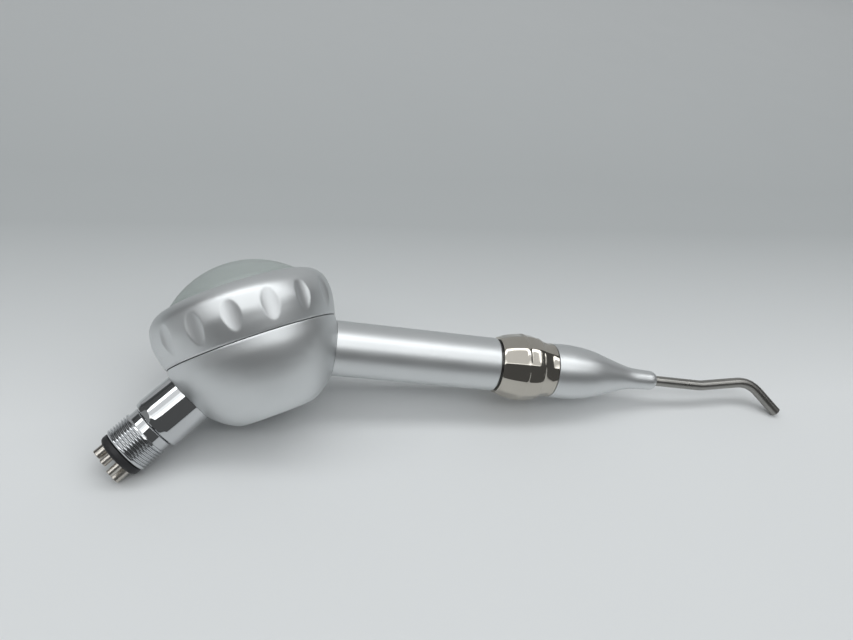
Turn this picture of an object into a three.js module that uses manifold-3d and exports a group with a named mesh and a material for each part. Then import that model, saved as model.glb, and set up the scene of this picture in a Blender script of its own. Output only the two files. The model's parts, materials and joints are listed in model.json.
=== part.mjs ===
// Dental air polisher handpiece: powder bowl with a screwed lid, 4-hole hose connector,
// straight handle, locking nut and a bent double-tube nozzle.
// Millimetres. The bowl frame has its origin at the centre of the seam between bowl and
// cap ring, +Z along the cap axis and +X towards the handle. The outermost group lays the
// finished handpiece on its side, on a table at Z = 0.
import * as THREE from 'three';
import { mergeVertices } from 'three/addons/utils/BufferGeometryUtils.js';
import Module from 'manifold-3d';

const wasm = await Module();
wasm.setup();

// How the handpiece lies: on the bowl's flank, the connector's rim and the nozzle's tip.
const restRollDegrees = -51.31;
const restPitchDegrees = -9.87;

// Axes that meet in the bowl, as falls below the seam plane.
const handleFallDegrees = 25.3;
const handleAxisHeight = 0.9;
const couplingFallDegrees = 22.1;
const couplingAxisHeight = 0.1;

// Clearances.
const seat = 0.3;
const seam = 0.4;

// Bowl and lid.
const bowlTopRadius = 20.65;
const bowlFootRadius = 6.8;
const bowlFootHeight = -18;
const chamberRadius = 13.4;
const chamberFloor = -14.6;
const neckRadius = 18.3;
const neckBoreRadius = 16.2;
const neckTop = 6;
const ringRadius = 21.97;
const ringBoreRadius = 18.7;
const ringMouthRadius = 16.2;
const ringTop = 12.75;
const ringLedge = 10.8;
const scallopCount = 16;
const scallopPhase = 0.653;
const scallopCutterRadius = 6.5;
const scallopCutterDistance = 28.03;
const scallopLeanDegrees = 2.86;
const scallopMiddle = 5.4;
const domeRadius = 22.6;
const domeCentre = -2.6;
const domeWall = 1.5;
const domeNeckRadius = 15.9;
const domeShoulderHeight = 13.1;
const domeShoulderWidth = 0.7;
const flangeRadius = 18.4;

// Handle and front swivel, measured along the handle axis.
const handleRadius = 6.9;
const handleBoreRadius = 5.9;
const handleFront = 61.9;
const bushRadius = 5.6;
const swivelRadius = 3.9;
const swivelBoreRadius = 4.2;
const swivelStemRadius = 3;
const swivelGrooveRadius = 2.9;
const coreThreadRadius = 5.6;
const coreFlangeRadius = 6.2;
const nutRear = handleFront + seam;
const nutFront = 77.3;
const nutFlatCount = 12;
const nutFlatDistance = 8.45;
const headRear = nutFront + seam;
const headFront = 109.2;
const nozzleBendStart = 124;
const nozzleRise = 2.55;
const nozzleKnee = 140;
const nozzleTip = 149.3;
const nozzleDrop = 5.45;
const nozzleSweepRadius = 14;
const nozzleBendRadius = 9;
const nozzleRadius = 1.42;
const nozzleBoreRadius = 1.1;
const powderJetRadius = 0.7;
const powderJetBoreRadius = 0.42;

// Tubes inside the bowl and the handle.
const powderTubeRadius = 1.6;
const powderTubeBoreRadius = 1.1;
const airTubeRadius = 1.3;
const airTubeBoreRadius = 0.85;
const waterTubeRadius = 0.55;
const waterTubeBoreRadius = 0.32;
const waterTubeBendRadius = 5;
const waterTubeOffset = 4.75;

// Hose coupling, measured along the coupling axis.
const sleeveRadius = 6.6;
const sleeveBoreRadius = 4.9;
const sleeveEnd = 29;
const tenonRadius = 5.6;
const tenonStart = 16.3;
const stemRadius = 4.6;
const stemGrooveRadius = 3.7;
const clipGrooveRadius = 5.7;
const clipGrooveStart = 23.7;
const clipGrooveEnd = 25.1;
const connectorNeckRadius = 5.6;
const threadRadius = 6;
const threadStart = 32;
const threadEnd = 37.4;
const gasketRadius = 5.55;
const gasketThickness = 1.9;
const tubeClearance = 0.25;

// Smoothness of round pieces.
const fine = 32;
const medium = 20;
const coarse = 12;

const axisZ = new THREE.Vector3(0, 0, 1);

function finish(colour, roughness, metalness) {
  return new THREE.MeshStandardMaterial({ color: colour, roughness, metalness });
}

function silverAluminium() {
  return finish(0xc4c8c9, 0.38, 0.85);
}

function chrome() {
  return finish(0xd9dcdd, 0.08, 1);
}

function nickel() {
  return finish(0xb8b0a2, 0.12, 1);
}

function steel() {
  return finish(0x8f8d88, 0.3, 1);
}

function frosted() {
  const material = finish(0xb7bfbf, 0.45, 0);
  material.transparent = true;
  material.opacity = 0.55;
  return material;
}

function rubber(colour) {
  return finish(colour, 0.75, 0);
}

// Turns an outline of [radius, height] points about +Z.
function turned(outline, sides = medium) {
  const points = outline.map(([radius, height]) => new THREE.Vector2(radius, height));
  const geometry = new THREE.LatheGeometry(points, sides);
  geometry.rotateX(Math.PI / 2);
  return facingOut(geometry);
}

// A lathe outline may run either way round: this makes the faces point out.
function facingOut(geometry) {
  const merged = welded(geometry);
  const position = merged.getAttribute('position');
  const index = merged.getIndex();
  const [a, b, c] = [new THREE.Vector3(), new THREE.Vector3(), new THREE.Vector3()];
  let volume = 0;
  for (let i = 0; i < index.count; i += 3) {
    a.fromBufferAttribute(position, index.getX(i));
    b.fromBufferAttribute(position, index.getX(i + 1));
    c.fromBufferAttribute(position, index.getX(i + 2));
    volume += a.dot(b.cross(c));
  }
  if (volume < 0) {
    for (let i = 0; i < index.count; i += 3) {
      const first = index.getX(i);
      index.setX(i, index.getX(i + 1));
      index.setX(i + 1, first);
    }
  }
  return merged;
}

function welded(geometry) {
  const bare = geometry.clone();
  bare.deleteAttribute('normal');
  bare.deleteAttribute('uv');
  const merged = mergeVertices(bare, 1e-4);
  const index = merged.getIndex();
  const kept = [];
  for (let i = 0; i < index.count; i += 3) {
    const corners = [index.getX(i), index.getX(i + 1), index.getX(i + 2)];
    if (new Set(corners).size === 3) {
      kept.push(...corners);
    }
  }
  merged.setIndex(kept);
  return merged;
}

// A washer, bush or plain sleeve: a rectangle turned about +Z, open along its bore.
function sleeve(innerRadius, outerRadius, start, end, sides = medium) {
  return closedTurned([
    [innerRadius, start],
    [outerRadius, start],
    [outerRadius, end],
    [innerRadius, end],
  ], sides);
}

function closedTurned(outline, sides = medium) {
  return turned([...outline, outline[0]], sides);
}

function rod(radius, start, end, sides = medium) {
  return turned([[0, start], [radius, start], [radius, end], [0, end]], sides);
}

function circle(radius, sides) {
  return Array.from({ length: sides }, (_, i) => {
    const angle = (i / sides) * 2 * Math.PI;
    return new THREE.Vector2(radius * Math.cos(angle), radius * Math.sin(angle));
  });
}

// A round bar or tube along a path.
function swept(path, radius, boreRadius, steps, sides = 8) {
  const section = new THREE.Shape(circle(radius, sides));
  if (boreRadius > 0) {
    section.holes.push(new THREE.Path(circle(boreRadius, sides)));
  }
  return facingOut(new THREE.ExtrudeGeometry(section, { extrudePath: path, steps, curveSegments: 1 }));
}

// Straight runs between corners, with each inner corner rounded to a bend.
function bentPath(corners, bends) {
  const path = new THREE.CurvePath();
  let from = corners[0];
  for (let i = 1; i < corners.length - 1; i += 1) {
    const before = corners[i].clone().sub(corners[i - 1]).normalize();
    const after = corners[i + 1].clone().sub(corners[i]).normalize();
    const reach = bends[i - 1] * Math.tan(before.angleTo(after) / 2);
    const enter = corners[i].clone().addScaledVector(before, -reach);
    const leave = corners[i].clone().addScaledVector(after, reach);
    path.add(new THREE.LineCurve3(from, enter));
    path.add(new THREE.QuadraticBezierCurve3(enter, corners[i], leave));
    from = leave;
  }
  path.add(new THREE.LineCurve3(from, corners[corners.length - 1]));
  return path;
}

function solid(geometry) {
  const merged = welded(geometry);
  return new wasm.Manifold(new wasm.Mesh({
    numProp: 3,
    vertProperties: new Float32Array(merged.getAttribute('position').array),
    triVerts: new Uint32Array(merged.getIndex().array),
  }));
}

function fromSolid(shape) {
  const mesh = shape.getMesh();
  const geometry = new THREE.BufferGeometry();
  geometry.setAttribute('position', new THREE.BufferAttribute(new Float32Array(mesh.vertProperties), 3));
  geometry.setIndex(new THREE.BufferAttribute(new Uint32Array(mesh.triVerts), 1));
  return geometry;
}

function cut(geometry, ...cutters) {
  return fromSolid(cutters.reduce((shape, cutter) => shape.subtract(solid(cutter)), solid(geometry)));
}

function joined(geometry, ...others) {
  return fromSolid(others.reduce((shape, other) => shape.add(solid(other)), solid(geometry)));
}

function placed(geometry, matrix) {
  return geometry.clone().applyMatrix4(matrix);
}

function addPiece(group, name, geometry, material) {
  const piece = new THREE.Mesh(geometry, material);
  piece.name = name;
  group.add(piece);
  return piece;
}

// The four groups: bowl frame, handle axis and coupling axis, each with +Z along its axis.
const handpiece = new THREE.Group();
const bowl = new THREE.Group();
const handle = new THREE.Group();
const coupling = new THREE.Group();
handpiece.add(bowl);
bowl.add(handle, coupling);
handle.position.set(0, 0, handleAxisHeight);
handle.rotation.y = THREE.MathUtils.degToRad(90 + handleFallDegrees);
coupling.position.set(0, 0, couplingAxisHeight);
coupling.rotation.y = -THREE.MathUtils.degToRad(90 + couplingFallDegrees);
handle.updateMatrix();
coupling.updateMatrix();
const toHandle = handle.matrix.clone().invert();
const toCoupling = coupling.matrix.clone().invert();

function onHandle(across, aside, along) {
  return new THREE.Vector3(across, aside, along).applyMatrix4(handle.matrix);
}

function onCoupling(across, aside, along) {
  return new THREE.Vector3(across, aside, along).applyMatrix4(coupling.matrix);
}

// Tube routes, in the bowl frame.
const powderPath = new THREE.LineCurve3(onHandle(0, 0, 8.5), onHandle(0, 0, 47.5));
const airPath = bentPath(
  [onCoupling(0, 0, 17.4), onCoupling(0, 0, 11.4), new THREE.Vector3(-6.6, 0, -11.8)],
  [2.6],
);
const waterPath = bentPath([
  onCoupling(0, 3.2, 17.4),
  new THREE.Vector3(-9.6, 6.4, -4.4),
  new THREE.Vector3(-2.2, 13.4, -4.4),
  new THREE.Vector3(5.2, 11.6, -4.4),
  new THREE.Vector3(10.8, 5.6, -4.6),
  onHandle(0, waterTubeOffset, 17.5),
  onHandle(0, waterTubeOffset, 46.7),
], Array(5).fill(waterTubeBendRadius));
const waterSteps = 26;

function waterClearance(extra) {
  return swept(waterPath, waterTubeRadius + extra, 0, waterSteps, 8);
}

// The bowl's outside from its foot up to the seam, grown by a margin where a neighbour is
// shaped to sit against it.
function bowlOutside(margin) {
  const wall = new THREE.SplineCurve([
    new THREE.Vector2(bowlFootRadius, bowlFootHeight - margin),
    new THREE.Vector2(9.6 + margin * 0.3, -17.6 - margin),
    new THREE.Vector2(13.4 + margin * 0.7, -15.2 - margin * 0.7),
    new THREE.Vector2(16.9 + margin, -11.2 - margin * 0.4),
    new THREE.Vector2(19.05 + margin, -7.4),
    new THREE.Vector2(20.3 + margin, -3.7),
    new THREE.Vector2(bowlTopRadius + margin, -0.45),
  ]);
  return wall.getPoints(10).map((point) => [point.x, point.y]);
}

function bowlPlug(margin) {
  return turned([
    [0, bowlFootHeight - margin],
    ...bowlOutside(margin),
    [bowlTopRadius + margin, margin],
    [0, margin],
  ], fine);
}

function powderBowl() {
  const floorCurve = new THREE.QuadraticBezierCurve(
    new THREE.Vector2(7, chamberFloor),
    new THREE.Vector2(chamberRadius - 1.2, chamberFloor),
    new THREE.Vector2(chamberRadius - 0.2, -7.5),
  );
  const body = turned([
    [0, bowlFootHeight],
    ...bowlOutside(0),
    [bowlTopRadius - 0.12, -0.15],
    [neckRadius, -0.15],
    [neckRadius, neckTop - 0.4],
    [neckRadius - 0.4, neckTop],
    [neckBoreRadius, neckTop],
    [neckBoreRadius, 2.4],
    [chamberRadius, 0],
    ...floorCurve.getPoints(4).reverse().map((point) => [point.x, point.y]),
    [0, chamberFloor],
  ], fine);
  return cut(
    body,
    placed(rod(handleBoreRadius, 16.3, 30), handle.matrix),
    placed(rod(tenonRadius + seat, tenonStart - seat, 30), coupling.matrix),
    swept(powderPath, powderTubeRadius + seat, 0, 1, 16),
    swept(airPath, airTubeRadius + seat, 0, 12, 8),
    waterClearance(seat),
  );
}

function capRing() {
  const side = new THREE.SplineCurve([
    new THREE.Vector2(20.9, 0.5),
    new THREE.Vector2(21.6, 3.3),
    new THREE.Vector2(ringRadius, 6.2),
    new THREE.Vector2(21.5, 9.6),
    new THREE.Vector2(20.1, 11.65),
    new THREE.Vector2(18.5, 12.65),
    new THREE.Vector2(17.6, ringTop),
  ]);
  const blank = closedTurned([
    [ringBoreRadius, 0.15],
    [20.65, 0.15],
    ...side.getPoints(9).map((point) => [point.x, point.y]),
    [ringMouthRadius, ringTop - 0.6],
    [ringMouthRadius, ringLedge],
    [ringBoreRadius, ringLedge],
  ], scallopCount * 3);
  const cutters = Array.from({ length: scallopCount }, (_, i) => {
    const cutter = rod(scallopCutterRadius, -10, 10, fine);
    cutter.rotateY(THREE.MathUtils.degToRad(scallopLeanDegrees));
    cutter.translate(scallopCutterDistance, 0, scallopMiddle);
    cutter.rotateZ(((i + scallopPhase) / scallopCount) * 2 * Math.PI);
    return cutter;
  });
  return cut(blank, ...cutters);
}

// The arc of a dome shell from its top down to the given radius.
function domeArc(radius, edgeRadius, count) {
  const spread = Math.asin(edgeRadius / radius);
  return Array.from({ length: count + 1 }, (_, i) => {
    const angle = (spread * i) / count;
    return [radius * Math.sin(angle), domeCentre + radius * Math.cos(angle)];
  });
}

function domeLid() {
  const inside = domeArc(domeRadius - domeWall, domeNeckRadius - domeWall, 5).reverse();
  return turned([
    ...domeArc(domeRadius, domeNeckRadius - domeShoulderWidth, 6),
    [domeNeckRadius, domeShoulderHeight],
    [domeNeckRadius, 9.6],
    [flangeRadius, 9.6],
    [flangeRadius, 7.9],
    [domeNeckRadius - domeWall, 7.9],
    ...inside,
  ], fine);
}

function buildLid() {
  addPiece(bowl, 'powder_bowl', powderBowl(), silverAluminium());
  addPiece(bowl, 'lid_seal', sleeve(16.5, 18.1, neckTop + seat, 7.6, medium), rubber(0xb9bdbb));
  addPiece(bowl, 'dome_lid', domeLid(), frosted());
  addPiece(bowl, 'slip_washer', sleeve(16.3, flangeRadius, 9.9, 10.5, medium), rubber(0xe4e6e6));
  addPiece(bowl, 'cap_ring', capRing(), silverAluminium());
}

function buildInnerTubes() {
  addPiece(bowl, 'powder_tube', swept(powderPath, powderTubeRadius, powderTubeBoreRadius, 1, 14), steel());
  addPiece(bowl, 'air_inlet_tube', swept(airPath, airTubeRadius, airTubeBoreRadius, 12, 8), steel());
  const water = swept(waterPath, waterTubeRadius, waterTubeBoreRadius, waterSteps, 6);
  addPiece(bowl, 'water_tube', water, steel());
}

// A spring clip: a flat ring with a gap.
function clip(innerRadius, outerRadius, start, end) {
  const gap = new THREE.BoxGeometry(outerRadius * 2, 1.6, 10);
  gap.translate(outerRadius, 0, start);
  return cut(sleeve(innerRadius, outerRadius, start, end, coarse), gap);
}

function handleDisc(start, end) {
  return cut(
    rod(bushRadius, start, end),
    placed(swept(powderPath, powderTubeRadius + seat, 0, 1, 16), toHandle),
    placed(waterClearance(0.5), toHandle),
  );
}

function buildHandle() {
  const tube = cut(
    sleeve(handleBoreRadius, handleRadius, 17, handleFront, fine),
    placed(bowlPlug(seat), toHandle),
  );
  addPiece(handle, 'handle_tube', tube, silverAluminium());
  addPiece(handle, 'handle_root_bush', handleDisc(16.6, 27), steel());
  addPiece(handle, 'handle_spacer', handleDisc(36, 38), rubber(0xd8d8d2));
  const socket = closedTurned([
    [3.3, 47],
    [bushRadius, 47],
    [bushRadius, handleFront - seat],
    [swivelBoreRadius, handleFront - seat],
    [swivelBoreRadius, 49],
    [3.3, 49],
  ]);
  addPiece(handle, 'swivel_socket', socket, steel());
}

function buildSwivel() {
  const core = closedTurned([
    [2, 45],
    [swivelStemRadius, 45],
    [swivelStemRadius, 45.9],
    [2.5, 45.9],
    [2.5, 46.8],
    [swivelStemRadius, 46.8],
    [swivelStemRadius, 49.3],
    [swivelRadius, 49.3],
    [swivelRadius, 51],
    [swivelGrooveRadius, 51],
    [swivelGrooveRadius, 52.4],
    [swivelRadius, 52.4],
    [swivelRadius, 56],
    [swivelGrooveRadius, 56],
    [swivelGrooveRadius, 57.4],
    [swivelRadius, 57.4],
    [swivelRadius, nutRear],
    [coreFlangeRadius, nutRear],
    [coreFlangeRadius, 64.1],
    [coreThreadRadius, 64.1],
    [coreThreadRadius, 70.2],
    [coreThreadRadius - 0.4, 70.6],
    [3.2, 70.6],
    [3.2, 59],
    [2, 59],
  ]);
  addPiece(handle, 'swivel_core', core, steel());
  addPiece(handle, 'swivel_clip', clip(2.8, 4, 46, 46.7), steel());
  addPiece(handle, 'swivel_o_ring_rear', sleeve(3.1, 4, 51.2, 52.2, coarse), rubber(0x1c1c1c));
  addPiece(handle, 'swivel_o_ring_front', sleeve(3.1, 4, 56.2, 57.2, coarse), rubber(0x1c1c1c));
}

function lockNut() {
  const outside = new THREE.SplineCurve([
    new THREE.Vector2(7.25, nutRear),
    new THREE.Vector2(8.1, 64.3),
    new THREE.Vector2(8.8, 68.3),
    new THREE.Vector2(8.78, 71.0),
    new THREE.Vector2(8.0, 73.6),
    new THREE.Vector2(7.36, 75.7),
    new THREE.Vector2(7.15, nutFront),
  ]);
  const blank = closedTurned([
    [6.5, nutRear],
    ...outside.getPoints(9).map((point) => [point.x, point.y]),
    [4.7, nutFront],
    [4.7, 73.5],
    [5.9, 73.5],
    [5.9, 64.4],
    [6.5, 64.4],
  ], nutFlatCount * 3);
  const flats = Array.from({ length: nutFlatCount }, (_, i) => {
    const flat = new THREE.BoxGeometry(2, 8, 12);
    flat.translate(nutFlatDistance + 1, 0, 69.6);
    flat.rotateZ((i / nutFlatCount) * 2 * Math.PI);
    return flat;
  });
  return cut(blank, ...flats);
}

function nozzleHead() {
  const outside = new THREE.SplineCurve([
    new THREE.Vector2(7.12, headRear + 0.25),
    new THREE.Vector2(7.2, 82.9),
    new THREE.Vector2(6.45, 88.9),
    new THREE.Vector2(4.6, 95.2),
    new THREE.Vector2(3.08, 100.6),
    new THREE.Vector2(2.72, 104.8),
    new THREE.Vector2(2.62, 107.4),
    new THREE.Vector2(2.3, 108.6),
  ]);
  return closedTurned([
    [4.3, headRear],
    [6.9, headRear],
    ...outside.getPoints(10).map((point) => [point.x, point.y]),
    [1.75, headFront],
    [nozzleRadius + 0.2, headFront],
    [nozzleRadius + 0.2, 98],
    [4.3, 88],
  ]);
}

function nozzlePath(start) {
  return bentPath([
    new THREE.Vector3(0, 0, start),
    new THREE.Vector3(0, 0, nozzleBendStart),
    new THREE.Vector3(-nozzleRise, 0, nozzleKnee),
    new THREE.Vector3(nozzleDrop, 0, nozzleTip),
  ], [nozzleSweepRadius, nozzleBendRadius]);
}

function buildNozzle() {
  const spigot = closedTurned([
    [1.05, 59.5],
    [2.9, 59.5],
    [2.9, 63],
    [2.2, 63],
    [2.2, 64.2],
    [2.9, 64.2],
    [2.9, 70.9],
    [5.5, 70.9],
    [5.5, 73.2],
    [4.4, 73.2],
    [4.4, headRear - 0.1],
    [4, headRear - 0.1],
    [4, 82],
    [3.2, 82],
    [3.2, 83.2],
    [4, 83.2],
    [4, 86],
    [1.05, 86],
  ]);
  addPiece(handle, 'nozzle_spigot', spigot, steel());
  addPiece(handle, 'spigot_o_ring', sleeve(2.4, 3, 63.15, 64.05, coarse), rubber(0x1c1c1c));
  addPiece(handle, 'head_o_ring', sleeve(3.4, 4.1, 82.15, 83.05, coarse), rubber(0x1c1c1c));
  addPiece(handle, 'nozzle_head', nozzleHead(), silverAluminium());
  const tube = swept(nozzlePath(99), nozzleRadius, nozzleBoreRadius, 24, 8);
  addPiece(handle, 'nozzle_tube', tube, steel());
  const jet = swept(nozzlePath(84), powderJetRadius, powderJetBoreRadius, 26, 6);
  addPiece(handle, 'powder_jet_tube', jet, steel());
  addPiece(handle, 'lock_nut', lockNut(), nickel());
}

// The four tubes of the connector: name, place across the axis, radii and tip.
const connectorTubes = [
  { name: 'exhaust_tube', across: 3.1, aside: 0, radius: 1.5, bore: 1.15, tip: 42.3 },
  { name: 'chip_air_tube', across: 1, aside: -3, radius: 0.9, bore: 0.55, tip: 42.1 },
  { name: 'water_inlet_tube', across: -1.7, aside: -2.9, radius: 0.9, bore: 0.55, tip: 42.6 },
  { name: 'drive_air_tube', across: -3.2, aside: 0.4, radius: 1.2, bore: 0.85, tip: 43.2 },
];

function connectorHoles(start, end) {
  return connectorTubes.map((tube) => {
    const hole = rod(tube.radius + tubeClearance, start, end, 12);
    hole.translate(tube.across, tube.aside, 0);
    return hole;
  });
}

function couplingSleeve() {
  const barrel = cut(
    closedTurned([
      [sleeveBoreRadius, 17],
      [sleeveRadius, 17],
      [sleeveRadius, sleeveEnd - 1.4],
      [sleeveRadius - 0.22, sleeveEnd - 0.25],
      [sleeveRadius - 0.5, sleeveEnd],
      [sleeveBoreRadius, sleeveEnd],
      [sleeveBoreRadius, clipGrooveEnd],
      [clipGrooveRadius, clipGrooveEnd],
      [clipGrooveRadius, clipGrooveStart],
      [sleeveBoreRadius, clipGrooveStart],
    ], fine),
    placed(bowlPlug(seat), toCoupling),
  );
  return joined(barrel, sleeve(sleeveBoreRadius, tenonRadius, tenonStart, 22.4, fine));
}

function hoseConnector() {
  const body = closedTurned([
    [2.4, 18],
    [stemRadius, 18],
    [stemRadius, 19.5],
    [stemGrooveRadius, 19.5],
    [stemGrooveRadius, 20.9],
    [stemRadius, 20.9],
    [stemRadius, clipGrooveStart],
    [stemRadius - 0.5, clipGrooveStart],
    [stemRadius - 0.5, clipGrooveEnd],
    [stemRadius, clipGrooveEnd],
    [stemRadius, 26.5],
    [stemGrooveRadius, 26.5],
    [stemGrooveRadius, 27.9],
    [stemRadius, 27.9],
    [stemRadius, sleeveEnd + seat],
    [connectorNeckRadius - 0.15, sleeveEnd + seat],
    [connectorNeckRadius, sleeveEnd + 0.5],
    [connectorNeckRadius, threadStart - 0.5],
    [5.9, threadStart - 0.4],
    [5.9, threadStart - 0.1],
    [threadRadius, threadStart],
    [threadRadius, threadEnd - 0.3],
    [threadRadius - 0.3, threadEnd],
    [2, threadEnd],
    [2, 31.8],
    [2.4, 31.4],
  ]);
  return cut(body, ...connectorHoles(30.8, 40));
}

function connectorGasket() {
  const start = threadEnd + seat;
  const end = start + gasketThickness;
  const disc = turned([
    [0, start],
    [gasketRadius - 0.1, start],
    [gasketRadius, start + 0.3],
    [gasketRadius, end - 0.8],
    [gasketRadius - 0.2, end - 0.3],
    [gasketRadius - 0.6, end],
    [0, end],
  ]);
  return cut(disc, ...connectorHoles(30, 45));
}

function buildCoupling() {
  addPiece(coupling, 'coupling_sleeve', couplingSleeve(), chrome());
  addPiece(coupling, 'hose_connector', hoseConnector(), chrome());
  addPiece(coupling, 'connector_gasket', connectorGasket(), rubber(0x17181a));
  addPiece(coupling, 'connector_clip', clip(4.4, 5.4, 24, 24.8), steel());
  addPiece(coupling, 'connector_o_ring_rear', sleeve(3.9, 4.7, 19.7, 20.7, coarse), rubber(0x1c1c1c));
  addPiece(coupling, 'connector_o_ring_front', sleeve(3.9, 4.7, 26.7, 27.7, coarse), rubber(0x1c1c1c));
  connectorTubes.forEach((tube) => {
    const geometry = sleeve(tube.bore, tube.radius, 31.2, tube.tip, 14);
    const piece = addPiece(coupling, tube.name, geometry, nickel());
    piece.position.set(tube.across, tube.aside, 0);
  });
}

buildLid();
buildInnerTubes();
buildHandle();
buildSwivel();
buildNozzle();
buildCoupling();

// Lay it down, turn the handle towards +X and stand the lowest point on Z = 0.
const lie = new THREE.Euler(
  THREE.MathUtils.degToRad(restRollDegrees),
  THREE.MathUtils.degToRad(restPitchDegrees),
  0,
  'ZYX',
);
const handleDirection = axisZ.clone().transformDirection(handle.matrix).applyEuler(lie);
lie.z = -Math.atan2(handleDirection.y, handleDirection.x);
bowl.rotation.copy(lie);
handpiece.updateMatrixWorld(true);
const box = new THREE.Box3().setFromObject(handpiece, true);
bowl.position.set(
  -(box.min.x + box.max.x) / 2,
  -(box.min.y + box.max.y) / 2,
  -box.min.z,
);
handpiece.updateMatrixWorld(true);

export default handpiece;
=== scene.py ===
"""Dental air polisher handpiece, lying on a pale floor under soft studio light.

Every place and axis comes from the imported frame. The outlines below are in millimetres, in
one of three axis systems: BOWL (origin at the seam, +Z along the cap axis, +X towards the
handle), HANDLE (+Z along the handle) and COUPLING (+Z towards the hose).
"""

import json
import math

import bmesh
import bpy
from mathutils import Matrix, Vector


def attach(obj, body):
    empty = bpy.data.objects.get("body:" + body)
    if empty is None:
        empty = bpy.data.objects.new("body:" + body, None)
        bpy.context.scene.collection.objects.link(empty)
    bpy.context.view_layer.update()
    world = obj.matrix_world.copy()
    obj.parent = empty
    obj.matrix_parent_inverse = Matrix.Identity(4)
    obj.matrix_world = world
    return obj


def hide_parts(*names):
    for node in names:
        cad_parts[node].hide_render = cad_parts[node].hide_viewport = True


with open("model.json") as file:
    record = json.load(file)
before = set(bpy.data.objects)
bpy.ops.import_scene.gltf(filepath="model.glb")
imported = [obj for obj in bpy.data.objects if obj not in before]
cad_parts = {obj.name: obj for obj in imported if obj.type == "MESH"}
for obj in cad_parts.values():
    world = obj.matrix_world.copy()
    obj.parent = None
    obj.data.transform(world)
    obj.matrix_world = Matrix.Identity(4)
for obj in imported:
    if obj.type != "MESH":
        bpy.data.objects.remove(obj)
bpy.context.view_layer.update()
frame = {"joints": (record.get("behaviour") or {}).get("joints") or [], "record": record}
scene = bpy.context.scene
MM = 0.001
TAU = 2 * math.pi
JOINTS = {joint["name"]: joint for joint in frame["joints"]}
BODY_OF = {
    node: body
    for body, nodes in frame["record"]["behaviour"]["bodies"].items()
    for node in nodes
}

# ---------------------------------------------------------------- axis systems


def axis_of(joint):
    return Vector(JOINTS[joint]["axis"]).normalized()


def axes(origin, x, y, z):
    """A rigid frame from its origin and its three axes."""
    matrix = Matrix((x, y, z)).transposed().to_4x4()
    matrix.translation = origin
    return matrix


SWIVEL_AT = 62.3
CONNECTOR_AT = 29.3
cap_axis = axis_of("ring_turn")
handle_axis = axis_of("nozzle_swivel")
coupling_axis = axis_of("hose_connector_swivel")
side_axis = cap_axis.cross(handle_axis).normalized()
BOWL = axes(
    Vector(JOINTS["ring_turn"]["pos_m"]), side_axis.cross(cap_axis), side_axis, cap_axis
)
HANDLE = axes(
    Vector(JOINTS["nozzle_swivel"]["pos_m"]) - handle_axis * SWIVEL_AT * MM,
    side_axis.cross(handle_axis),
    side_axis,
    handle_axis,
)
COUPLING = axes(
    Vector(JOINTS["hose_connector_swivel"]["pos_m"]) - coupling_axis * CONNECTOR_AT * MM,
    side_axis.cross(coupling_axis),
    side_axis,
    coupling_axis,
)

# ---------------------------------------------------------------- outlines


def blend(a, b, t):
    return tuple(p + (q - p) * t for p, q in zip(a, b))


def smoothstep(low, high, value):
    t = min(1.0, max(0.0, (value - low) / (high - low)))
    return t * t * (3 - 2 * t)


def soft_min(a, b, width):
    """The smaller of two values, with the crease between them rounded."""
    h = min(1.0, max(0.0, 0.5 + 0.5 * (b - a) / width))
    return b + (a - b) * h - width * h * (1 - h)


def spline(points, steps=8):
    """A smooth curve through every point."""
    last = len(points) - 1
    out = []
    for i in range(last):
        p0, p1 = points[max(i - 1, 0)], points[i]
        p2, p3 = points[i + 1], points[min(i + 2, last)]
        for k in range(steps):
            t = k / steps
            out.append(
                tuple(
                    (2 * b - 2 * c + 0.5 * (c - a) + 0.5 * (d - b)) * t**3
                    + (-3 * b + 3 * c - (c - a) - 0.5 * (d - b)) * t**2
                    + 0.5 * (c - a) * t
                    + b
                    for a, b, c, d in zip(p0, p1, p2, p3)
                )
            )
    return out + [points[-1]]


def bezier(a, b, c, d, steps=16):
    out = []
    for k in range(steps + 1):
        t = k / steps
        ab, bc, cd = blend(a, b, t), blend(b, c, t), blend(c, d, t)
        out.append(blend(blend(ab, bc, t), blend(bc, cd, t), t))
    return out


def eased(outline, radius=0.15, closed=True, steps=4):
    """Rounds each true corner of an outline. Points along a smooth curve stay as they are."""
    count = len(outline)
    out = []
    for i, point in enumerate(outline):
        if not closed and i in (0, count - 1):
            out.append(point)
            continue
        here = Vector(point)
        back = Vector(outline[i - 1]) - here
        on = Vector(outline[(i + 1) % count]) - here
        turn = math.pi - back.angle(on)
        if turn < math.radians(20):
            out.append(point)
            continue
        reach = min(radius * math.tan(turn / 2), 0.42 * back.length, 0.42 * on.length)
        start = here + back.normalized() * reach
        end = here + on.normalized() * reach
        for k in range(steps + 1):
            t = k / steps
            out.append(tuple(start * (1 - t) ** 2 + here * 2 * t * (1 - t) + end * t * t))
    return out


def filled(outline, step, closed=True):
    """Adds points along the long runs of an outline."""
    count = len(outline)
    out = []
    for i in range(count if closed else count - 1):
        a, b = outline[i], outline[(i + 1) % count]
        pieces = max(1, math.ceil(math.dist(a, b) / step))
        out += [blend(a, b, k / pieces) for k in range(pieces)]
    return out if closed else out + [outline[-1]]


def bush(inner, outer, start, end, radius=0.15):
    """The outline of a washer or a sleeve."""
    return eased([(inner, start), (outer, start), (outer, end), (inner, end)], radius)


def ring_of(radius, centre_radius, height, steps=20):
    """The round section of an O-ring."""
    return [
        (
            centre_radius + radius * math.cos(k * TAU / steps),
            height + radius * math.sin(k * TAU / steps),
        )
        for k in range(steps)
    ]


# ---------------------------------------------------------------- solids


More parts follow.
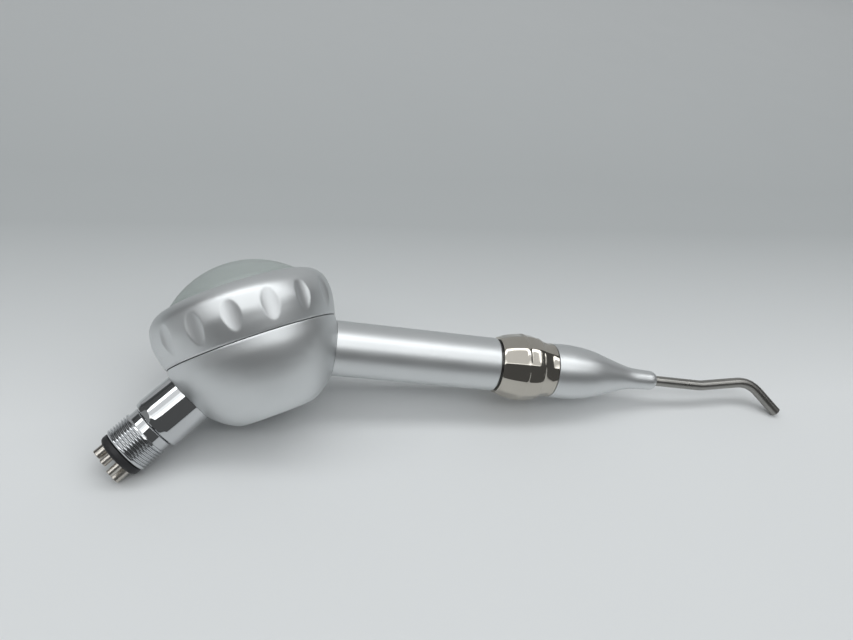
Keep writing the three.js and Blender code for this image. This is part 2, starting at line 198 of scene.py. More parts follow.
def revolved(outline, sides=96, closed=True, warp=None, path=None, sweep=TAU):
    """Turns an outline of (radius, height) about +Z: (vertices, faces) in millimetres.

    closed is False where the outline runs from the axis back to the axis. warp moves a
    point, as (radius, height, angle) to (radius, height). path bends the axis.
    """
    vertices, faces, rings = [], [], []
    whole = sweep >= TAU - 1e-6
    columns = sides if whole else sides + 1
    for radius, height in outline:
        if radius < 1e-6 and not closed:
            rings.append([len(vertices)])
            vertices.append((0, 0, height))
            continue
        ring = []
        for k in range(columns):
            angle = sweep * k / sides
            r, z = warp(radius, height, angle) if warp else (radius, height)
            ring.append(len(vertices))
            if path:
                vertices.append(path(r * math.cos(angle), r * math.sin(angle), z))
            else:
                vertices.append((r * math.cos(angle), r * math.sin(angle), z))
        rings.append(ring)
    pairs = list(zip(rings, rings[1:] + rings[:1])) if closed else list(zip(rings, rings[1:]))
    for lower, upper in pairs:
        for k in range(sides):
            n = (k + 1) % columns
            if len(lower) == 1:
                faces.append((lower[0], upper[n], upper[k]))
            elif len(upper) == 1:
                faces.append((lower[k], lower[n], upper[0]))
            else:
                faces.append((lower[k], lower[n], upper[n], upper[k]))
    if not whole:
        faces.append([ring[0] for ring in rings])
        faces.append([ring[-1] for ring in rings][::-1])
    return vertices, faces


def bent_axis(corners, bends, extra=6):
    """Points along straight runs whose inner corners are rounded, in millimetres."""
    points = [Vector(corners[0])]
    for i in range(1, len(corners) - 1):
        here = Vector(corners[i])
        before = (here - Vector(corners[i - 1])).normalized()
        after = (Vector(corners[i + 1]) - here).normalized()
        reach = bends[i - 1] * math.tan(before.angle(after) / 2)
        enter, leave = here - before * reach, here + after * reach
        for k in range(4 * extra + 1):
            t = k / (4 * extra)
            points.append(enter * (1 - t) ** 2 + here * 2 * t * (1 - t) + leave * t * t)
    return points + [Vector(corners[-1])]


def along(points):
    """A function that carries (x, y, distance) onto a bent axis, and the axis's length."""
    places, frames, total = [0.0], [], 0.0
    tangent = (points[1] - points[0]).normalized()
    across = Vector((1, 0, 0)) if abs(tangent.x) < 0.9 else Vector((0, 1, 0))
    across = (across - tangent * across.dot(tangent)).normalized()
    for i, point in enumerate(points):
        if i:
            total += (point - points[i - 1]).length
            places.append(total)
            ahead = points[min(i + 1, len(points) - 1)] - points[i - 1]
            turned = ahead.normalized()
            across = tangent.rotation_difference(turned) @ across
            tangent = turned
        frames.append((point.copy(), across.copy(), tangent.cross(across), tangent.copy()))

    def carry(x, y, distance):
        i = 0
        while i < len(places) - 2 and places[i + 1] < distance:
            i += 1
        span = places[i + 1] - places[i]
        t = (distance - places[i]) / span
        a, b = frames[i], frames[i + 1]
        t_in = min(1.0, max(0.0, t))
        place = a[0].lerp(b[0], t)
        return tuple(place + a[1].lerp(b[1], t_in) * x + a[2].lerp(b[2], t_in) * y)

    return carry, total


def tube_along(points, radius, bore, sides=32, step=0.45, edge=0.08):
    """A tube whose axis follows points, with eased ends."""
    carry, length = along(points)
    outline = filled(bush(bore, radius, 0, length, edge), step)
    return revolved(outline, sides, path=carry)


def mesh_of(name, shape):
    """A mesh in metres with its faces turned outwards."""
    vertices, faces = shape
    mesh = bpy.data.meshes.new(name)
    mesh.from_pydata([Vector(v) * MM for v in vertices], [], faces)
    bm = bmesh.new()
    bm.from_mesh(mesh)
    bmesh.ops.recalc_face_normals(bm, faces=bm.faces)
    bm.to_mesh(mesh)
    bm.free()
    return mesh


def piece(node, shape, place, finish, crease=32, drills=()):
    """Makes one mesh that stands for a CAD node, drilled by the other shapes given.

    The mesh lies in the row frame, and its attribute own_place keeps each point's place in
    the piece's axis system, for the patterns of its finish.
    """
    obj = bpy.data.objects.new(node + "_fine", mesh_of(node + "_fine", shape))
    scene.collection.objects.link(obj)
    for drill in drills:
        drilled(obj, drill)
    mesh = obj.data
    own = mesh.attributes.new("own_place", "FLOAT_VECTOR", "POINT")
    for vertex, value in zip(mesh.vertices, own.data):
        value.vector = vertex.co
    mesh.transform(place)
    mesh.shade_smooth()
    mesh.set_sharp_from_angle(angle=math.radians(crease))
    mesh.materials.clear()
    mesh.materials.append(finish)
    weighted = obj.modifiers.new("face_weighted_normals", "WEIGHTED_NORMAL")
    weighted.keep_sharp = True
    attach(obj, BODY_OF[node])
    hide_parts(node)
    return obj


def drilled(obj, shape):
    """Cuts a closed shape out of an object's mesh."""
    mesh = mesh_of("drill", shape)
    cutter = bpy.data.objects.new("drill", mesh)
    scene.collection.objects.link(cutter)
    modifier = obj.modifiers.new("drill", "BOOLEAN")
    modifier.operation = "DIFFERENCE"
    modifier.solver = "EXACT"
    modifier.object = cutter
    evaluated = obj.evaluated_get(bpy.context.evaluated_depsgraph_get())
    cut = bpy.data.meshes.new_from_object(evaluated)
    obj.modifiers.clear()
    old, obj.data = obj.data, cut
    bpy.data.meshes.remove(old)
    bpy.data.objects.remove(cutter)
    bpy.data.meshes.remove(mesh)


def bar(radius, start, end, x=0.0, y=0.0, sides=48):
    """A drill: a plain bar parallel to +Z."""
    outline = [(0, start), (radius, start), (radius, end), (0, end)]
    vertices, faces = revolved(outline, sides, closed=False)
    return [(vx + x, vy + y, vz) for vx, vy, vz in vertices], faces


def moved(shape, matrix):
    """A shape carried by a matrix that holds metres."""
    vertices, faces = shape
    return [tuple((matrix @ (Vector(v) * MM)) / MM) for v in vertices], faces


# ---------------------------------------------------------------- finishes


class Finish:
    """A node material whose patterns follow the piece's own axis system, in metres."""

    def __init__(self, name, own_place=True, **sockets):
        self.material = bpy.data.materials.new(name)
        self.material.use_nodes = True
        self.tree = self.material.node_tree
        self.shader = self.tree.nodes["Principled BSDF"]
        for socket, value in sockets.items():
            self.shader.inputs[socket.replace("_", " ")].default_value = value
        if own_place:
            self.place = self.add("ShaderNodeAttribute", attribute_name="own_place").outputs["Vector"]
        else:
            self.place = self.add("ShaderNodeTexCoord").outputs["Object"]
        self.normal = None

    def add(self, kind, **settings):
        node = self.tree.nodes.new(kind)
        for key, value in settings.items():
            setattr(node, key, value)
        return node

    def link(self, start, end):
        self.tree.links.new(start, end)

    def noise(self, scale, detail=2.0, roughness=0.5, stretch=None):
        """A noise value from 0 to 1. stretch squeezes the pattern along an axis."""
        place = self.place
        if stretch:
            mapping = self.add("ShaderNodeMapping")
            mapping.inputs["Scale"].default_value = stretch
            self.link(place, mapping.inputs["Vector"])
            place = mapping.outputs["Vector"]
        node = self.add("ShaderNodeTexNoise")
        node.inputs["Scale"].default_value = scale
        node.inputs["Detail"].default_value = detail
        node.inputs["Roughness"].default_value = roughness
        self.link(place, node.inputs["Vector"])
        return node.outputs["Fac"]

    def spread(self, value, low, high, to_low, to_high):
        node = self.add("ShaderNodeMapRange")
        for socket, number in zip(
            ("From Min", "From Max", "To Min", "To Max"), (low, high, to_low, to_high)
        ):
            node.inputs[socket].default_value = number
        self.link(value, node.inputs["Value"])
        return node.outputs["Result"]

    def colours(self, value, first, second):
        node = self.add("ShaderNodeMix", data_type="RGBA")
        for socket in node.inputs:
            if socket.identifier == "A_Color":
                socket.default_value = (*first, 1)
            if socket.identifier == "B_Color":
                socket.default_value = (*second, 1)
            if socket.identifier == "Factor_Float":
                self.link(value, socket)
        result = next(s for s in node.outputs if s.identifier == "Result_Color")
        self.link(result, self.shader.inputs["Base Color"])
        return result

    def rough(self, value):
        self.link(value, self.shader.inputs["Roughness"])

    def bump(self, value, height, strength=1.0):
        """Adds relief of that height, in millimetres, on top of any relief there is."""
        node = self.add("ShaderNodeBump")
        node.inputs["Strength"].default_value = strength
        node.inputs["Distance"].default_value = height * MM
        self.link(value, node.inputs["Height"])
        if self.normal:
            self.link(self.normal, node.inputs["Normal"])
        self.normal = node.outputs["Normal"]
        self.link(self.normal, self.shader.inputs["Normal"])


def metal(name, light, dark, rough_low, rough_high, grain, turning, smudge=70):
    """A metal with cloudy polish, fine grain and faint marks around its turning axis."""
    finish = Finish(name, Metallic=1.0)
    cloud = finish.noise(smudge, 3)
    finish.colours(finish.spread(cloud, 0.3, 0.7, 0, 1), light, dark)
    finish.rough(finish.spread(finish.noise(smudge * 1.7, 4), 0.3, 0.7, rough_low, rough_high))
    if grain:
        finish.bump(finish.noise(5200, 1), grain)
    if turning:
        finish.bump(finish.noise(2600, 2, stretch=(0.02, 0.02, 1)), turning)
    return finish.material


def plastic(name, light, dark, rough_low, rough_high, grain, **sockets):
    finish = Finish(name, **sockets)
    finish.colours(finish.noise(160, 3), light, dark)
    finish.rough(finish.spread(finish.noise(420, 3), 0.3, 0.7, rough_low, rough_high))
    finish.bump(finish.noise(3000, 3), grain)
    return finish.material


SATIN = metal("satin_aluminium", (0.70, 0.715, 0.72), (0.67, 0.685, 0.69), 0.40, 0.44, 0.0004, 0.0)
CHROME = metal("polished_chrome", (0.62, 0.63, 0.64), (0.57, 0.58, 0.59), 0.03, 0.06, 0, 0.0002)
NICKEL = metal("polished_nickel", (0.55, 0.52, 0.465), (0.50, 0.47, 0.42), 0.07, 0.11, 0, 0)
PIN_STEEL = metal("pin_steel", (0.60, 0.57, 0.52), (0.50, 0.47, 0.43), 0.18, 0.30, 0, 0.002)
NOZZLE_STEEL = metal("nozzle_steel", (0.36, 0.35, 0.33), (0.27, 0.265, 0.25), 0.24, 0.36, 0.0008, 0)
INNER_STEEL = metal("inner_steel", (0.50, 0.50, 0.49), (0.42, 0.42, 0.41), 0.22, 0.34, 0, 0.002)
RUBBER = plastic("black_rubber", (0.012, 0.012, 0.013), (0.02, 0.02, 0.022), 0.5, 0.7, 0.006)
WHITE = plastic("white_plastic", (0.72, 0.73, 0.72), (0.66, 0.67, 0.66), 0.4, 0.5, 0.002)
SILICONE = plastic("clear_silicone", (0.55, 0.57, 0.56), (0.48, 0.5, 0.5), 0.4, 0.55, 0.003)
SILICONE.node_tree.nodes["Principled BSDF"].inputs["Subsurface Weight"].default_value = 0.3
FROSTED = plastic(
    "frosted_lid", (0.69, 0.745, 0.725), (0.63, 0.69, 0.67), 0.38, 0.5, 0.003,
    Transmission_Weight=0.55, IOR=1.49,
)

# ---------------------------------------------------------------- bowl and lid

BOWL_WALL = spline(
    [(6.8, -18), (9.6, -17.6), (13.4, -15.2), (16.9, -11.2), (19.05, -7.4), (20.3, -3.7), (20.62, -0.45)],
    8,
)


def bowl_radius(height):
    """The radius of the bowl's outside at a height."""
    if height <= BOWL_WALL[0][1]:
        return 0.0
    for (r0, z0), (r1, z1) in zip(BOWL_WALL, BOWL_WALL[1:]):
        if height <= z1:
            return r0 + (r1 - r0) * (height - z0) / (z1 - z0)
    return BOWL_WALL[-1][0]


def thread_groove(height, angle, pitch, starts=1):
    """How deep a thread is cut, from 0 at its crest to 1 at its root."""
    turn = (height / pitch - starts * angle / TAU) % 1.0
    return smoothstep(0.12, 0.88, 2 * abs(turn - 0.5))


def neck_thread(radius, height, angle):
    cut = smoothstep(0.5, 1.2, height) * (1 - smoothstep(4.9, 5.6, height))
    outside = 1.0 if radius > 18.2 and -0.1 < height < 6 else 0.0
    return radius - 0.55 * outside * cut * thread_groove(height, angle, 1.333, 3), height


bowl_outline = (
    [(0, -18.0)]
    + BOWL_WALL
    + [(20.6, -0.08), (18.3, -0.08)]
    + [(18.3, 0.3 + 0.11 * k) for k in range(48)]
    + [(17.9, 6.0), (16.2, 6.0), (16.2, 2.4), (13.4, 0.0)]
    + [(13.4 - 0.2 * (k / 10) ** 2, -7.5 * k / 10) for k in range(1, 11)]
    + [p for p in bezier((13.2, -7.5), (12.4, -12.4), (10.6, -14.6), (7.0, -14.6))[1:]]
    + [(0, -14.6)]
)
TO_BOWL_FROM_HANDLE = BOWL.inverted() @ HANDLE
TO_BOWL_FROM_COUPLING = BOWL.inverted() @ COUPLING
powder_run = [Vector((0, 0, 8.5)), Vector((0, 0, 28.0)), Vector((0, 0, 47.5))]


def coupling_point(x, y, z):
    return TO_BOWL_FROM_COUPLING @ (Vector((x, y, z)) * MM) / MM


def handle_point(x, y, z):
    return TO_BOWL_FROM_HANDLE @ (Vector((x, y, z)) * MM) / MM


air_run = bent_axis([coupling_point(0, 0, 17.4), coupling_point(0, 0, 11.4), (-6.6, 0, -11.8)], [2.6])
water_run = bent_axis(
    [
        coupling_point(0, 3.2, 17.4),
        (-9.6, 6.4, -4.4),
        (-2.2, 13.4, -4.4),
        (5.2, 11.6, -4.4),
        (10.8, 5.6, -4.6),
        handle_point(0, 4.75, 17.5),
        handle_point(0, 4.75, 46.7),
    ],
    [5, 5, 5, 5, 5],
)


def solid_run(points, radius, sides=24):
    """A drill that follows a bent axis."""
    carry, length = along(points)
    outline = filled([(0, 0), (radius, 0), (radius, length), (0, length)], 0.8, closed=False)
    vertices, faces, rings = [], [], []
    for r, z in outline:
        if r < radius:
            continue
        ring = [len(vertices) + k for k in range(sides)]
        vertices += [
            carry(r * math.cos(TAU * k / sides), r * math.sin(TAU * k / sides), z)
            for k in range(sides)
        ]
        rings.append(ring)
    for lower, upper in zip(rings, rings[1:]):
        faces += [
            (lower[k], lower[(k + 1) % sides], upper[(k + 1) % sides], upper[k])
            for k in range(sides)
        ]
    faces += [rings[0][::-1], rings[-1]]
    return vertices, faces


piece(
    "powder_bowl",
    revolved(eased(bowl_outline, 0.1, closed=False), 224, closed=False, warp=neck_thread),
    BOWL,
    SATIN,
    drills=[
        moved(bar(5.9, 16.3, 30), TO_BOWL_FROM_HANDLE),
        moved(bar(5.9, 16.0, 30), TO_BOWL_FROM_COUPLING),
        moved(bar(1.9, 8.0, 20), TO_BOWL_FROM_HANDLE),
        solid_run(air_run, 1.6),
    ],
)

SCALLOPS = 16
SCALLOP_TURN = 0.653
SCALLOP_RADIUS = 5.6
SCALLOP_DISTANCE = 27.03
SCALLOP_LEAN = 0.05
SCALLOP_MIDDLE = 5.4


def scalloped(radius, height, angle):
    """Finger scallops: upright cylinders cut out of the ring's outside."""
    if radius < 18.75 and height < 12.7:
        return radius, height
    step = TAU / SCALLOPS
    off = (angle - SCALLOP_TURN * step + step / 2) % step - step / 2
    aside = SCALLOP_DISTANCE * math.sin(off)
    if abs(aside) >= SCALLOP_RADIUS:
        return radius, height
    near = SCALLOP_DISTANCE * math.cos(off) - math.sqrt(SCALLOP_RADIUS**2 - aside**2)
    near += SCALLOP_LEAN * (height - SCALLOP_MIDDLE)
    return min(radius, soft_min(radius, near, 0.06)), height


ring_side = spline(
    [(20.9, 0.5), (21.6, 3.3), (21.97, 6.2), (21.5, 9.6), (20.1, 11.65), (18.5, 12.65), (17.6, 12.75)],
    10,
)
ring_outline = (
    [(18.7, 0.1), (20.7, 0.1)]
    + ring_side
    + [(16.2, 12.15), (16.2, 10.8), (18.7, 10.8)]
)


def ring_thread(radius, height, angle):
    if abs(radius - 18.7) < 0.01 and 0.4 < height < 10.3:
        return 18.7 - 0.15 * (1 - thread_groove(height, angle, 1.333, 3)), height
    return scalloped(radius, height, angle)


ring_profile = eased(ring_outline, 0.1)
ring_profile += [(18.7, 10.3 - 0.12 * k) for k in range(83)]
piece("cap_ring", revolved(ring_profile, SCALLOPS * 40, warp=ring_thread), BOWL, SATIN)


def dome_arc(radius, edge, count):
    spread = math.asin(edge / radius)
    return [
        (radius * math.sin(spread * k / count), radius * math.cos(spread * k / count) - 2.6)
        for k in range(count + 1)
    ]


dome_outline = (
    dome_arc(22.6, 14.9, 40)
    + bezier((14.9, 14.4), (15.5, 14.0), (15.88, 13.5), (15.9, 12.6), 8)[1:]
    + [(15.9, 9.6), (18.4, 9.6), (18.4, 7.9), (14.4, 7.9)]
    + dome_arc(21.1, 14.4, 32)[::-1]
)
dome_shape = revolved(eased(dome_outline, 0.2, closed=False), 160, closed=False)
piece("dome_lid", dome_shape, BOWL, FROSTED)
piece("lid_seal", revolved(bush(16.5, 18.1, 6.3, 7.6, 0.35), 128), BOWL, SILICONE)
piece("slip_washer", revolved(bush(16.3, 18.4, 9.9, 10.5), 128), BOWL, WHITE)

# ---------------------------------------------------------------- handle


def mouth(matrix, radius, angle, clear):
    """How far along an axis a line at that radius and angle leaves the bowl's outside."""
    inside, outside = 8.0, 40.0
    for _ in range(30):
        middle = (inside + outside) / 2
        point = matrix @ (Vector((radius * math.cos(angle), radius * math.sin(angle), middle)) * MM) / MM
        if math.hypot(point.x, point.y) < bowl_radius(point.z) + clear:
            inside = middle
        else:
            outside = middle
    return outside


def fitted(matrix, start, end, clear=0.06):
    """A warp that trims a tube's rear end to the bowl's outside."""
    known = {}

    def warp(radius, height, angle):
        key = (round(radius, 4), round(angle, 6))
        if key not in known:
            known[key] = mouth(matrix, radius, angle, clear)
        first = known[key]
        return radius, first + (end - first) * (height - start) / (end - start)

    return warp


tube_outline = [(5.9, 20), (6.15, 20), (6.4, 20), (6.65, 20), (6.9, 20)]
tube_outline += [(6.9, 26), (6.9, 34), (6.9, 42), (6.9, 50), (6.9, 56)]
tube_outline += [(6.9, 61.5), (6.8, 61.75), (6.6, 61.9), (6.1, 61.9), (5.95, 61.85), (5.9, 61.7)]
tube_outline += [(5.9, 50), (5.9, 35)]
piece(
    "handle_tube",
    revolved(tube_outline, 160, warp=fitted(TO_BOWL_FROM_HANDLE, 20, 61.9)),
    HANDLE,
    SATIN,
)
powder_shape = moved(tube_along(powder_run, 1.6, 1.1), TO_BOWL_FROM_HANDLE)
piece("powder_tube", powder_shape, BOWL, INNER_STEEL)
piece("air_inlet_tube", tube_along(air_run, 1.3, 0.85), BOWL, INNER_STEEL)
piece("water_tube", tube_along(water_run, 0.55, 0.32, 20), BOWL, INNER_STEEL)
handle_holes = [bar(1.9, 5, 60), bar(1.05, 5, 60, 0, 4.75)]
root_bush = eased([(0, 16.6), (5.6, 16.6), (5.6, 27), (0, 27)], 0.3, False)
root_bush_shape = revolved(root_bush, 96, False)
piece("handle_root_bush", root_bush_shape, HANDLE, INNER_STEEL, drills=handle_holes)
spacer = eased([(0, 36), (5.6, 36), (5.6, 38), (0, 38)], 0.3, False)
spacer_shape = revolved(spacer, 96, False)
piece("handle_spacer", spacer_shape, HANDLE, WHITE, drills=handle_holes)
socket = [(3.3, 47), (5.6, 47), (5.6, 61.6), (4.2, 61.6), (4.2, 49), (3.3, 49)]
piece("swivel_socket", revolved(eased(socket, 0.2), 96), HANDLE, INNER_STEEL)

# ---------------------------------------------------------------- swivel, nut and nozzle


def core_thread(radius, height, angle):
    if abs(radius - 5.6) > 0.01 or not 64.2 < height < 70.2:
        return radius, height
    cut = smoothstep(64.2, 64.9, height)
    return radius - 0.42 * cut * thread_groove(height, angle, 1.0), height


core_outline = [
    (2, 45), (3, 45), (3, 45.9), (2.5, 45.9), (2.5, 46.8), (3, 46.8), (3, 49.3), (3.9, 49.3),
    (3.9, 51), (2.9, 51), (2.9, 52.4), (3.9, 52.4), (3.9, 56), (2.9, 56), (2.9, 57.4),
    (3.9, 57.4), (3.9, 62.3), (6.2, 62.3), (6.2, 64.1), (5.6, 64.1),
]
core_end = [(5.6, 70.2), (5.2, 70.6), (3.2, 70.6), (3.2, 59), (2, 59)]
core_profile = eased(core_outline + core_end, 0.12)
split = next(i for i, p in enumerate(core_profile) if abs(p[0] - 5.6) < 0.01 and p[1] > 64.15)
core_profile[split + 1:split + 1] = [(5.6, 64.3 + 0.085 * k) for k in range(68)]
piece("swivel_core", revolved(core_profile, 96, warp=core_thread), HANDLE, INNER_STEEL)
clip_shape = revolved(bush(2.8, 4, 46, 46.7, 0.12), 64, sweep=math.radians(325))
piece("swivel_clip", clip_shape, HANDLE, INNER_STEEL)
piece("swivel_o_ring_rear", revolved(ring_of(0.45, 3.52, 51.7), 64), HANDLE, RUBBER)
piece("swivel_o_ring_front", revolved(ring_of(0.45, 3.52, 56.7), 64), HANDLE, RUBBER)

NUT_SIDES = 12
NUT_TURN = 0.5
nut_side = spline(
    [
        (7.25, 62.3), (7.75, 63.3), (8.3, 65), (8.72, 67.3),
        (8.85, 69.2), (8.78, 71.0), (8.55, 72.2), (8.36, 72.9),
    ],
    7,
)
nut_waist = spline([(8.36, 72.9), (7.95, 73.7), (7.6, 74.7), (7.34, 75.7), (7.2, 76.6), (7.15, 77.42)], 6)


def nut_facets(radius, height, angle):
    """Two rows of twelve flats with a round ridge between them, and a faceted waist."""
    if radius < 6.6:
        return radius, height
    step = TAU / NUT_SIDES
    off = (angle - NUT_TURN * step + step / 2) % step - step / 2
    first = smoothstep(62.35, 63.2, height) * (1 - smoothstep(67.9, 68.5, height))
    second = smoothstep(68.75, 69.3, height) * (1 - smoothstep(72.95, 73.3, height))
    waist = 0.6 * smoothstep(73.0, 73.5, height) * (1 - smoothstep(75.8, 77.0, height))
    share = max(first, second, waist)
    edge = math.cos(step / 2)
    flat = radius * edge / math.cos(off)
    return radius + (soft_min(radius * 0.997, flat, 0.2) - radius) * share, height


nut_outline = (
    [(6.5, 62.3)]
    + nut_side[:-1]
    + nut_waist
    + [(4.7, 77.42), (4.7, 73.5), (5.9, 73.5)]
    + [(5.9, 73.2 - 0.1 * k) for k in range(87)]
    + [(5.9, 64.4), (6.5, 64.4)]
)


def nut_shape(radius, height, angle):
    if abs(radius - 5.9) < 0.01 and 64.6 < height < 73.3:
        return radius - 0.1 * (1 - thread_groove(height, angle, 1.0)), height
    return nut_facets(radius, height, angle)


lock_nut_shape = revolved(eased(nut_outline, 0.14), NUT_SIDES * 30, warp=nut_shape)
piece("lock_nut", lock_nut_shape, HANDLE, NICKEL, crease=40)

spigot = [
    (1.05, 59.5), (2.9, 59.5), (2.9, 63), (2.2, 63), (2.2, 64.2), (2.9, 64.2), (2.9, 70.9),
    (5.5, 70.9), (5.5, 73.2), (4.4, 73.2), (4.4, 77.6), (4, 77.6), (4, 82), (3.2, 82),
    (3.2, 83.2), (4, 83.2), (4, 86), (1.05, 86),
]
piece("nozzle_spigot", revolved(eased(spigot, 0.15), 96), HANDLE, INNER_STEEL)
piece("spigot_o_ring", revolved(ring_of(0.4, 2.64, 63.6), 64), HANDLE, RUBBER)
piece("head_o_ring", revolved(ring_of(0.4, 3.64, 82.6), 64), HANDLE, RUBBER)
head_side = spline(
    [
        (7.12, 77.8), (7.2, 82.9), (6.45, 88.9), (4.6, 95.2), (3.08, 100.6),
        (2.72, 104.8), (2.62, 107.4), (2.3, 108.6), (1.6, 109.2),
    ],
    10,
)
head_outline = [(4.3, 77.68), (7.0, 77.68)] + head_side + [(1.55, 109.2), (1.55, 98), (4.3, 88)]
piece("nozzle_head", revolved(eased(head_outline, 0.12), 128), HANDLE, SATIN)


def nozzle_run(start):
    return bent_axis([(0, 0, start), (0, 0, 124), (-2.55, 0, 140), (5.45, 0, 149.3)], [14, 9])


piece("nozzle_tube", tube_along(nozzle_run(99), 1.42, 1.1, 48), HANDLE, NOZZLE_STEEL)
piece("powder_jet_tube", tube_along(nozzle_run(84), 0.7, 0.42, 32), HANDLE, NOZZLE_STEEL)

# ---------------------------------------------------------------- hose coupling

sleeve_outline = [(4.9, 20), (5.5, 20), (6.1, 20), (6.6, 20), (6.6, 22), (6.6, 24), (6.6, 26)]
sleeve_outline += [(6.6, 27.6), (6.55, 27.9), (6.42, 28.6), (6.34, 28.85), (6.1, 29), (5.0, 29), (4.9, 28.9)]
sleeve_outline += [(4.9, 25.1), (5.7, 25.1), (5.7, 23.7), (4.9, 23.7)]
piece(
    "coupling_sleeve",
    revolved(sleeve_outline, 160, warp=fitted(TO_BOWL_FROM_COUPLING, 20, 29)),
    COUPLING,
    CHROME,
)


def hose_thread(radius, height, angle):
    """The connector's outside thread, with a plain rim at its front."""
    if abs(radius - 6) > 0.01 or not 32 < height < 37.2:
        return radius, height
    cut = smoothstep(31.95, 32.1, height) * (1 - smoothstep(36.8, 36.95, height))
    return radius - 0.45 * cut * thread_groove(height, angle, 0.72), height


PINS = {
    "exhaust_tube": (3.1, 0, 1.5, 1.15, 42.3),
    "chip_air_tube": (1, -3, 0.9, 0.55, 42.1),
    "water_inlet_tube": (-1.7, -2.9, 0.9, 0.55, 42.6),
    "drive_air_tube": (-3.2, 0.4, 1.2, 0.85, 43.2),
}
connector_outline = [
    (2.4, 18), (4.6, 18), (4.6, 19.5), (3.7, 19.5), (3.7, 20.9), (4.6, 20.9), (4.6, 23.7),
    (4.1, 23.7), (4.1, 25.1), (4.6, 25.1), (4.6, 26.5), (3.7, 26.5), (3.7, 27.9), (4.6, 27.9),
    (4.6, 29.3), (5.45, 29.3), (5.6, 29.5), (5.6, 31.5), (5.9, 31.6), (6, 31.95),
]
connector_end = [(6, 37.1), (5.75, 37.4), (2, 37.4), (2, 31.8), (2.4, 31.4)]
connector_profile = eased(connector_outline, 0.1, closed=False)
connector_profile += [(6, 32.02 + 0.06 * k) for k in range(84)]
connector_profile += eased([(6, 37.05)] + connector_end, 0.1, closed=False)[1:]
pin_holes = [bar(r + 0.1, 30.8, 45, x, y) for x, y, r, _, _ in PINS.values()]
connector_shape = revolved(connector_profile, 144, warp=hose_thread)
piece("hose_connector", connector_shape, COUPLING, CHROME, drills=pin_holes)
gasket = eased(
    [(0, 37.7), (5.45, 37.7), (5.55, 38), (5.55, 38.8), (5.35, 39.3), (4.95, 39.6), (0, 39.6)], 0.2, False
)
piece("connector_gasket", revolved(gasket, 144, False), COUPLING, RUBBER, drills=pin_holes)
connector_clip = revolved(bush(4.4, 5.4, 24, 24.8, 0.12), 64, sweep=math.radians(330))
piece("connector_clip", connector_clip, COUPLING, INNER_STEEL)
piece("connector_o_ring_rear", revolved(ring_of(0.5, 4.28, 20.2), 64), COUPLING, RUBBER)
piece("connector_o_ring_front", revolved(ring_of(0.5, 4.28, 27.2), 64), COUPLING, RUBBER)
for name, (x, y, radius, bore, tip) in PINS.items():
    outline = eased([(bore, 31.2), (radius, 31.2), (radius, tip), (bore, tip)], 0.16)
    vertices, faces = revolved(outline, 64)
    shape = [(vx + x, vy + y, vz) for vx, vy, vz in vertices], faces
    piece(name, shape, COUPLING, PIN_STEEL)

# ---------------------------------------------------------------- stage, light and camera

# The sheet's turn about the vertical, and where and how its far end curves up, in metres.
SWEEP_TURN = math.radians(3.7)
SWEEP_START = 0.9
SWEEP_RADIUS = 0.3
SWEEP_STEPS = 24
FLOOR_STATIONS = (-2.0, -1.0, -0.4, -0.1, 0.1, 0.4, SWEEP_START)
WALL_HEIGHTS = (0.5, 0.9, 1.4)
PALE_NEAR = (0.78, 0.795, 0.80)
# The far grey is painted shade: it stands in for the light falling off on the sheet behind the object.
PAINTED_SHADE_FAR = (0.465, 0.484, 0.488)


def backdrop():
    """A pale sheet, flat under the object and curved up far behind it, with shade painted into its colour
    that makes it darker away from it.
    """
    profile = [(y, 0.0) for y in FLOOR_STATIONS]
    profile += [
        (
            SWEEP_START + SWEEP_RADIUS * math.sin(a * math.pi / (2 * SWEEP_STEPS)),
            SWEEP_RADIUS * (1 - math.cos(a * math.pi / (2 * SWEEP_STEPS))),
        )
        for a in range(1, SWEEP_STEPS + 1)
    ]
    profile += [(SWEEP_START + SWEEP_RADIUS, z) for z in WALL_HEIGHTS]
    stations = [-1.8 + 0.15 * k for k in range(25)]
    vertices = [(x, y, z) for x in stations for y, z in profile]
    count = len(profile)
    faces = [
        (i * count + j, (i + 1) * count + j, (i + 1) * count + j + 1, i * count + j + 1)
        for i in range(len(stations) - 1)
        for j in range(count - 1)
    ]
    mesh = bpy.data.meshes.new("backdrop")
    mesh.from_pydata(vertices, [], faces)
    mesh.shade_smooth()
    obj = bpy.data.objects.new("backdrop", mesh)
    scene.collection.objects.link(obj)
    obj.rotation_euler = (0, 0, SWEEP_TURN)
    finish = Finish("pale_board", own_place=False, Specular_IOR_Level=0.2)
    mottle = finish.noise(9, 3)
    split = finish.add("ShaderNodeSeparateXYZ")
    finish.link(finish.place, split.inputs["Vector"])
    # Painted shade: the colour turns from the near pale to the far grey from Y 0 to 0.085 m, then back part
    # way from 0.1 to 0.35 m, as light falloff.
    depth = finish.spread(split.outputs["Y"], 0.0, 0.085, 0, 1)
    distance = finish.spread(split.outputs["Y"], 0.1, 0.35, 0, 0.56)
    shade = finish.add("ShaderNodeMath", operation="SUBTRACT", use_clamp=True)
    finish.link(depth, shade.inputs[0])
    finish.link(distance, shade.inputs[1])
    mixed = finish.add("ShaderNodeMath", operation="MULTIPLY_ADD", use_clamp=True)
    finish.link(mottle, mixed.inputs[0])
    mixed.inputs[1].default_value = 0.06
    finish.link(shade.outputs["Value"], mixed.inputs[2])
    finish.colours(mixed.outputs["Value"], PALE_NEAR, PAINTED_SHADE_FAR)
    finish.rough(finish.spread(finish.noise(40, 3), 0.3, 0.7, 0.5, 0.6))
    finish.bump(finish.noise(900, 2), 0.01)
    mesh.materials.append(finish.material)


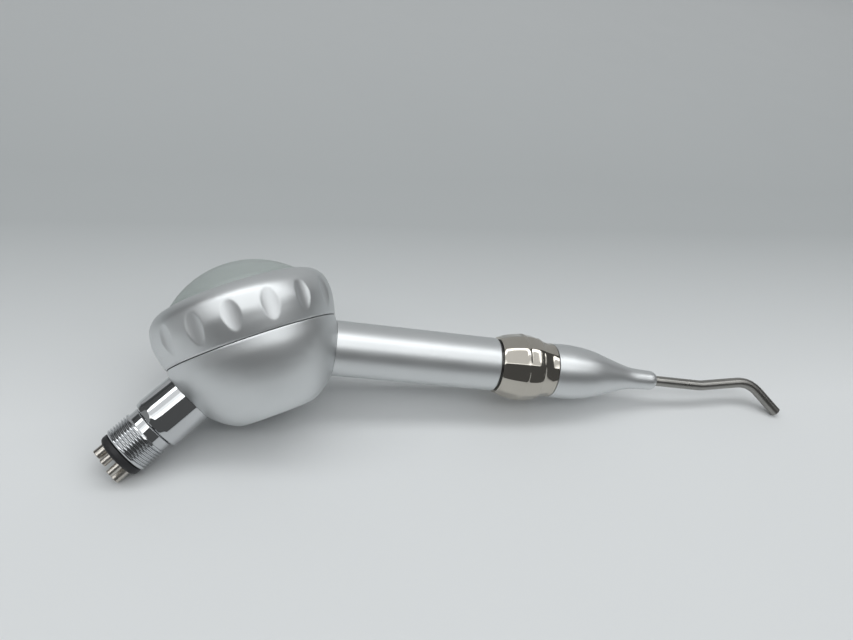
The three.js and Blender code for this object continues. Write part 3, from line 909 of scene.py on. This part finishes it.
def softbox(name, centre, aim, width, depth, radiance, colour):
    """A rectangular area light of an even radiance, turned towards its aim."""
    light = bpy.data.lights.new(name, "AREA")
    light.shape = "RECTANGLE"
    light.size, light.size_y = width, depth
    light.energy = radiance * math.pi * width * depth
    light.color = colour
    obj = bpy.data.objects.new(name, light)
    scene.collection.objects.link(obj)
    obj.location = centre
    obj.rotation_euler = (Vector(aim) - Vector(centre)).to_track_quat("-Z", "Y").to_euler()
    return obj


backdrop()
# Four strips overhead, side by side in Y, share one height, width and middle in X.
LIGHT_HEIGHT = 0.6
LIGHT_WIDTH = 1.4
LIGHT_MIDDLE = 0.05
LIGHT_COLOUR = (0.97, 0.99, 1.0)
for name, rear, front, radiance in (
    ("strip_rear", 0.15, 0.0, 3.1),
    ("diffuser", 0.0, -0.195, 0.85),
    ("strip_middle", -0.195, -0.30, 1.4),
    ("strip_front", -0.30, -0.436, 2.3),
):
    middle = (rear + front) / 2
    softbox(
        name,
        (LIGHT_MIDDLE, middle, LIGHT_HEIGHT),
        (LIGHT_MIDDLE, middle, 0),
        LIGHT_WIDTH,
        rear - front,
        radiance,
        LIGHT_COLOUR,
    )
# Two dim upright panels stand for the walls that the metal mirrors.
softbox(
    "back_wall", (LIGHT_MIDDLE, 0.47, 0.9), (LIGHT_MIDDLE, 0, 0.9), LIGHT_WIDTH, 1.8, 0.38, LIGHT_COLOUR
)
softbox("side_wall", (-0.65, -0.25, 0.3), (0, -0.25, 0.3), 0.7, 0.6, 0.2, LIGHT_COLOUR)

world = bpy.data.worlds.new("dim_room")
world.use_nodes = True
world.node_tree.nodes["Background"].inputs["Color"].default_value = (0.1, 0.102, 0.103, 1)
world.node_tree.nodes["Background"].inputs["Strength"].default_value = 1.0
scene.world = world
scene.view_settings.view_transform = "Standard"
scene.view_settings.look = "None"

# Where the camera stands and how it is turned, in the bowl's axis system.
CAMERA_AT = Vector((-5.235, -171.362, -12.499)) * MM
CAMERA_RIGHT = Vector((0.90791, -0.24705, -0.33862))
CAMERA_UP = Vector((0.32072, -0.11071, 0.94068))
CAMERA_BACK = Vector((-0.26988, -0.96266, -0.02128))
lens = bpy.data.cameras.new("camera")
lens.sensor_width = 36.0
lens.lens = 29.12
lens.clip_start, lens.clip_end = 0.01, 10.0
camera = bpy.data.objects.new("camera", lens)
scene.collection.objects.link(camera)
camera.matrix_world = BOWL @ axes(CAMERA_AT, CAMERA_RIGHT, CAMERA_UP, CAMERA_BACK)
scene.camera = camera
